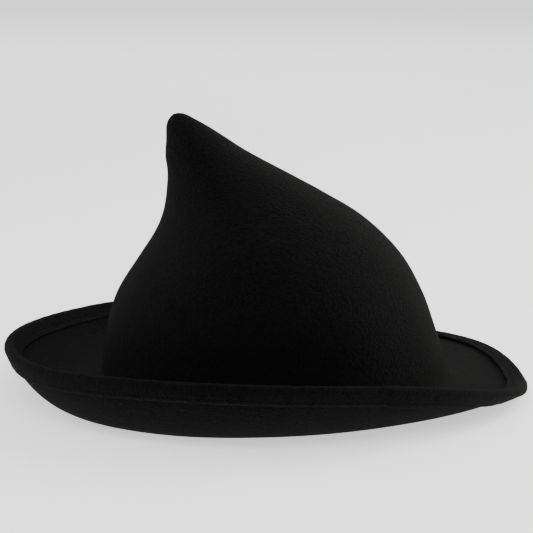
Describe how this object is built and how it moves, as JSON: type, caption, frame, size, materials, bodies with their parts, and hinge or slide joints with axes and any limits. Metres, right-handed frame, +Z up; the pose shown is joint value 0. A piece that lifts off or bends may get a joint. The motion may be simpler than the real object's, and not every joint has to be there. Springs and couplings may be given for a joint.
{
  "type": "witch hat",
  "caption": "Blocked black felt witch hat: a bent cone crown in one piece with a curled, wired and bound brim, and a sweatband inside.",
  "frame": {"origin": "centre of the head opening, on the level line where the crown meets the brim", "axes": "+X towards the front of the hat, +Y towards its left, +Z up; the tip leans back towards -X"},
  "size_m": [0.3185, 0.2946, 0.1709],
  "materials": {
    "felt": "matte wool felt with a fine fuzzy nap",
    "binding_felt": "matte pressed wool felt strip",
    "wire_steel": "drawn",
    "wrap_cotton": "matte cotton winding",
    "joiner_brass": "satin",
    "seam_thread": "dull twisted thread",
    "band_ribbon": "ribbed grosgrain, slight sheen",
    "label_satin": "woven satin, blank"
  },
  "bodies": {
    "root": {"felt_body": "felt", "rim_binding": "binding_felt", "rim_wire": "wire_steel", "wire_wrap": "wrap_cotton", "wire_joiner": "joiner_brass", "binding_stitches_top": "seam_thread", "binding_stitches_under": "seam_thread", "binding_end_stitches": "seam_thread", "sweatband": "band_ribbon", "sweatband_stitches": "seam_thread", "sweatband_join_stitches": "seam_thread", "size_label": "label_satin", "label_stitches": "seam_thread"}
  },
  "joints": []
}
